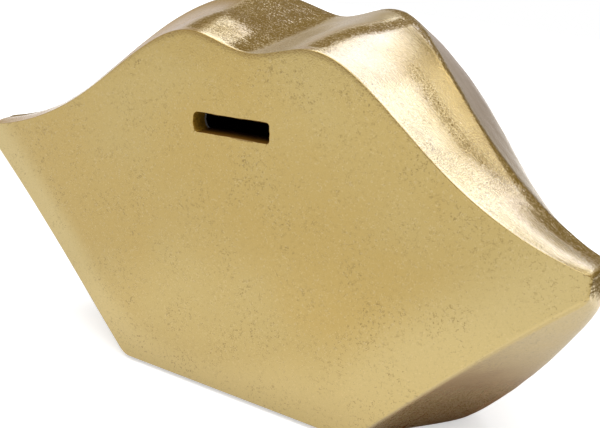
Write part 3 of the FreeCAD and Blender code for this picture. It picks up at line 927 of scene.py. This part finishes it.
def dullLook(finish, first, second, scale, roughness, relief):
    # Two tones of a dull surface in a fine noise, which is its relief too.
    tree = finish.node_tree
    skin = tree.nodes["Principled BSDF"]
    grainy = noise(tree, add(tree, "ShaderNodeTexCoord").outputs["Object"], scale, 4.0, 0.6)
    tone = mixColour(tree, between(tree, grainy, 0.35, 0.65), first, second)
    tree.links.new(tone, skin.inputs["Base Color"])
    skin.inputs["Roughness"].default_value = roughness
    bumped(tree, grainy, relief)


for finish, values in dullFinishes.items():
    dullLook(finish, *values)
print("finishes")

# Floor, light and camera. The floor's glow is worked out in a stretched copy of its plane, in
# which the object's edge is about one from the middle.
studio = dict(
    floorHalf=1.5, floorColour=(0.86, 0.86, 0.86, 1), floorRoughness=0.9, stretch=(6.5, 11, 0),
    seenGlow=(0.52, 0.48), seenOver=(1.0, 8.0), mirrorGlow=0.12, nearGlow=0.26, glowFrom=(0.9, 2.0),
    nearOver=(2.8, 0.6), nearFrom=(0.4, 1.1), nearSide=(0.55, 1.1), shift=0.65, shiftSide=(-0.4, -0.85),
    farGlow=0.1, farOver=(4.0, 8.0), frontOver=(0.3, -0.3),
    paintedShadeAndBounce=(0.3, 0.1, 0.0, 1), bounceOver=(0.97, 0.62), bounceFront=(0.4, 0.6),
    level=0.55, sideLift=1.25,
    glossy=((0.0, (0.385, 0.35, 0.335)), (0.3, (0.36, 0.325, 0.295)), (0.48, (0.28, 0.215, 0.12)),
            (0.62, (0.27, 0.21, 0.12)), (1.0, (0.4, 0.34, 0.24))),
)


def seenDirectly(tree):
    # 1 for camera rays, and 1 for glossy and transmission rays; 0 for the light that falls on things.
    rays = add(tree, "ShaderNodeLightPath").outputs
    return rays["Is Camera Ray"], maths(tree, "MAXIMUM", rays["Is Glossy Ray"], rays["Is Transmission Ray"])


def paperLook(finish):
    # Pale paper. The camera sees it glow up to white away from the object. Glossy rays see it glow
    # away from the object, more behind its back and in front of it, and dark and warm under its front:
    # painted shade with a painted warm bounce from the gold.
    tree, s = finish.node_tree, studio
    skin = tree.nodes["Principled BSDF"]
    skin.inputs["Roughness"].default_value = s["floorRoughness"]
    skin.inputs["Specular IOR Level"].default_value = 0.0
    skin.inputs["Emission Color"].default_value = (1, 1, 1, 1)
    isCamera, isShiny = seenDirectly(tree)
    where = add(tree, "ShaderNodeTexCoord").outputs["Object"]
    where = add(tree, "ShaderNodeVectorMath", operation="MULTIPLY", i0=where, i1=s["stretch"]).outputs[0]
    along = axes(tree, where)
    behind, sideways = along["Y"], along["X"]
    away = add(tree, "ShaderNodeVectorMath", operation="LENGTH", i0=where).outputs["Value"]

    around = between(tree, away, *s["glowFrom"], 0.0, s["mirrorGlow"])
    shifted = maths(tree, "ADD", behind, between(tree, sideways, *s["shiftSide"], 0.0, s["shift"]))
    nearBack = times(tree, between(tree, behind, *s["nearOver"], 0.0, s["nearGlow"]),
                     between(tree, shifted, *s["nearFrom"]),
                     between(tree, sideways, *s["nearSide"], 1.0, 0.0))
    farBack = between(tree, behind, *s["farOver"], 0.0, s["farGlow"])
    front = times(tree, between(tree, away, *s["glowFrom"], 0.0, s["nearGlow"]),
                  between(tree, behind, *s["frontOver"]))
    mirrored = maths(tree, "ADD", maths(tree, "ADD", around, maths(tree, "ADD", nearBack, farBack)), front)
    mirrored = times(tree, isShiny, mirrored)
    # glossy rays see the floor under the front dark and warm: painted shade with a painted warm bounce from
    # the gold
    under = times(tree, isShiny, between(tree, away, *s["bounceOver"]),
                  maths(tree, "SUBTRACT", 1.0, between(tree, behind, *s["bounceFront"])))
    tree.links.new(mixColour(tree, under, s["floorColour"], s["paintedShadeAndBounce"]), skin.inputs["Base Color"])
    seen = between(tree, away, *s["seenOver"], s["seenGlow"][0], sum(s["seenGlow"]))
    tree.links.new(maths(tree, "MULTIPLY_ADD", isCamera, seen, mirrored), skin.inputs["Emission Strength"])


half = studio["floorHalf"]
corners = [(-half, -half, 0), (half, -half, 0), (half, half, 0), (-half, half, 0)]
floor = meshOf("floor", corners, [(0, 1, 2, 3)])
paper = plainMaterial("paper")
paperLook(paper)
floor.data.materials.append(paper)


def surroundings():
    # A plain level for the light that falls on things, white for the camera, and for gloss a ramp
    # over the height of the ray, lifted by the size of its X.
    world = bpy.data.worlds.new("studio")
    scene.world = world
    world.use_nodes = True
    tree, level = world.node_tree, studio["level"]
    way = axes(tree, add(tree, "ShaderNodeTexCoord").outputs["Generated"])
    ramp = add(tree, "ShaderNodeValToRGB", Fac=way["Z"])
    stops = ramp.color_ramp.elements
    stops[0].color = studio["glossy"][0][1] + (1,)
    stops[1].color = studio["glossy"][-1][1] + (1,)
    for at, colour in studio["glossy"][1:-1]:
        stops.new(at).color = colour + (1,)
    isCamera, isShiny = seenDirectly(tree)
    lifted = maths(tree, "MULTIPLY_ADD", maths(tree, "ABSOLUTE", way["X"]), studio["sideLift"], 1.0)
    shiny = mixColour(tree, 1.0, ramp.outputs[0], lifted, "MULTIPLY")
    around = mixColour(tree, isShiny, (level, level, level, 1), shiny)
    sky = tree.nodes["Background"]
    tree.links.new(mixColour(tree, isCamera, around, (1, 1, 1, 1)), sky.inputs["Color"])


surroundings()

# Cards and the lamp: azimuth (0 is +Y, 90 is +X) and elevation in degrees, width and height in
# metres, level and colour. Cards only show in reflections.
lampDistance, lampAim = 1.5, Vector((0, 0, 0.08))
cards = dict(
    farBox=(-169.5, 47.2, 0.8, 0.36, 3.6, (0.5, 0.575, 0.95)),
    nearEnd=(162.7, 47.2, 0.21, 0.36, 3.2, (0.5, 0.56, 0.8)),
    farEnd=(-140.8, 49.5, 0.23, 0.31, 4.7, (0.46, 0.56, 0.93)),
    tipBox=(-172, 32, 0.42, 0.31, 0.8, (0.62, 0.66, 0.64)),
    upperBox=(-175.5, 60, 0.42, 0.31, 1.95, (0.6, 0.66, 0.9)),
    sideBox=(-119.5, 57.5, 0.27, 0.56, 1.62, (0.72, 0.79, 1.0)),
    topBox=(-138, 67, 0.33, 0.3, 0.9, (0.72, 0.79, 1.0)),
    wedgeBox=(148.5, 47, 0.27, 0.42, 2.6, (0.76, 0.85, 1.0)),
)
lamp = dict(nearBox=(5, 72, 1.3, 1.3, 2.6, (1, 1, 1)))


def softBox(name, azimuth, elevation, width, height, level, colour):
    # A rectangular lamp that faces the middle of the object; its power is its level times its size.
    light = bpy.data.lights.new(name, "AREA")
    light.shape = "RECTANGLE"
    light.size, light.size_y = width, height
    light.energy = 4 * level * width * height
    light.color = colour
    holder = bpy.data.objects.new(name, light)
    a, e = math.radians(azimuth), math.radians(elevation)
    aim = Vector((math.sin(a) * math.cos(e), math.cos(a) * math.cos(e), math.sin(e)))
    holder.location = lampAim + aim * lampDistance
    holder.rotation_euler = aim.to_track_quat("Z", "Y").to_euler()
    holder.visible_diffuse = name not in cards
    scene.collection.objects.link(holder)


for name, values in (cards | lamp).items():
    softBox(name, *values)

view = dict(lens=54, sensor=36, near=0.01, location=(-0.1863, 0.3456, 0.2063), turn=(70.96, -4.5, -149.96))
lens = bpy.data.cameras.new("camera")
lens.lens, lens.sensor_width, lens.clip_start = view["lens"], view["sensor"], view["near"]
camera = bpy.data.objects.new("camera", lens)
camera.location = view["location"]
camera.rotation_euler = [math.radians(angle) for angle in view["turn"]]
scene.collection.objects.link(camera)
scene.camera = camera
scene.view_settings.view_transform = "Standard"
print("floor, lamps and camera")
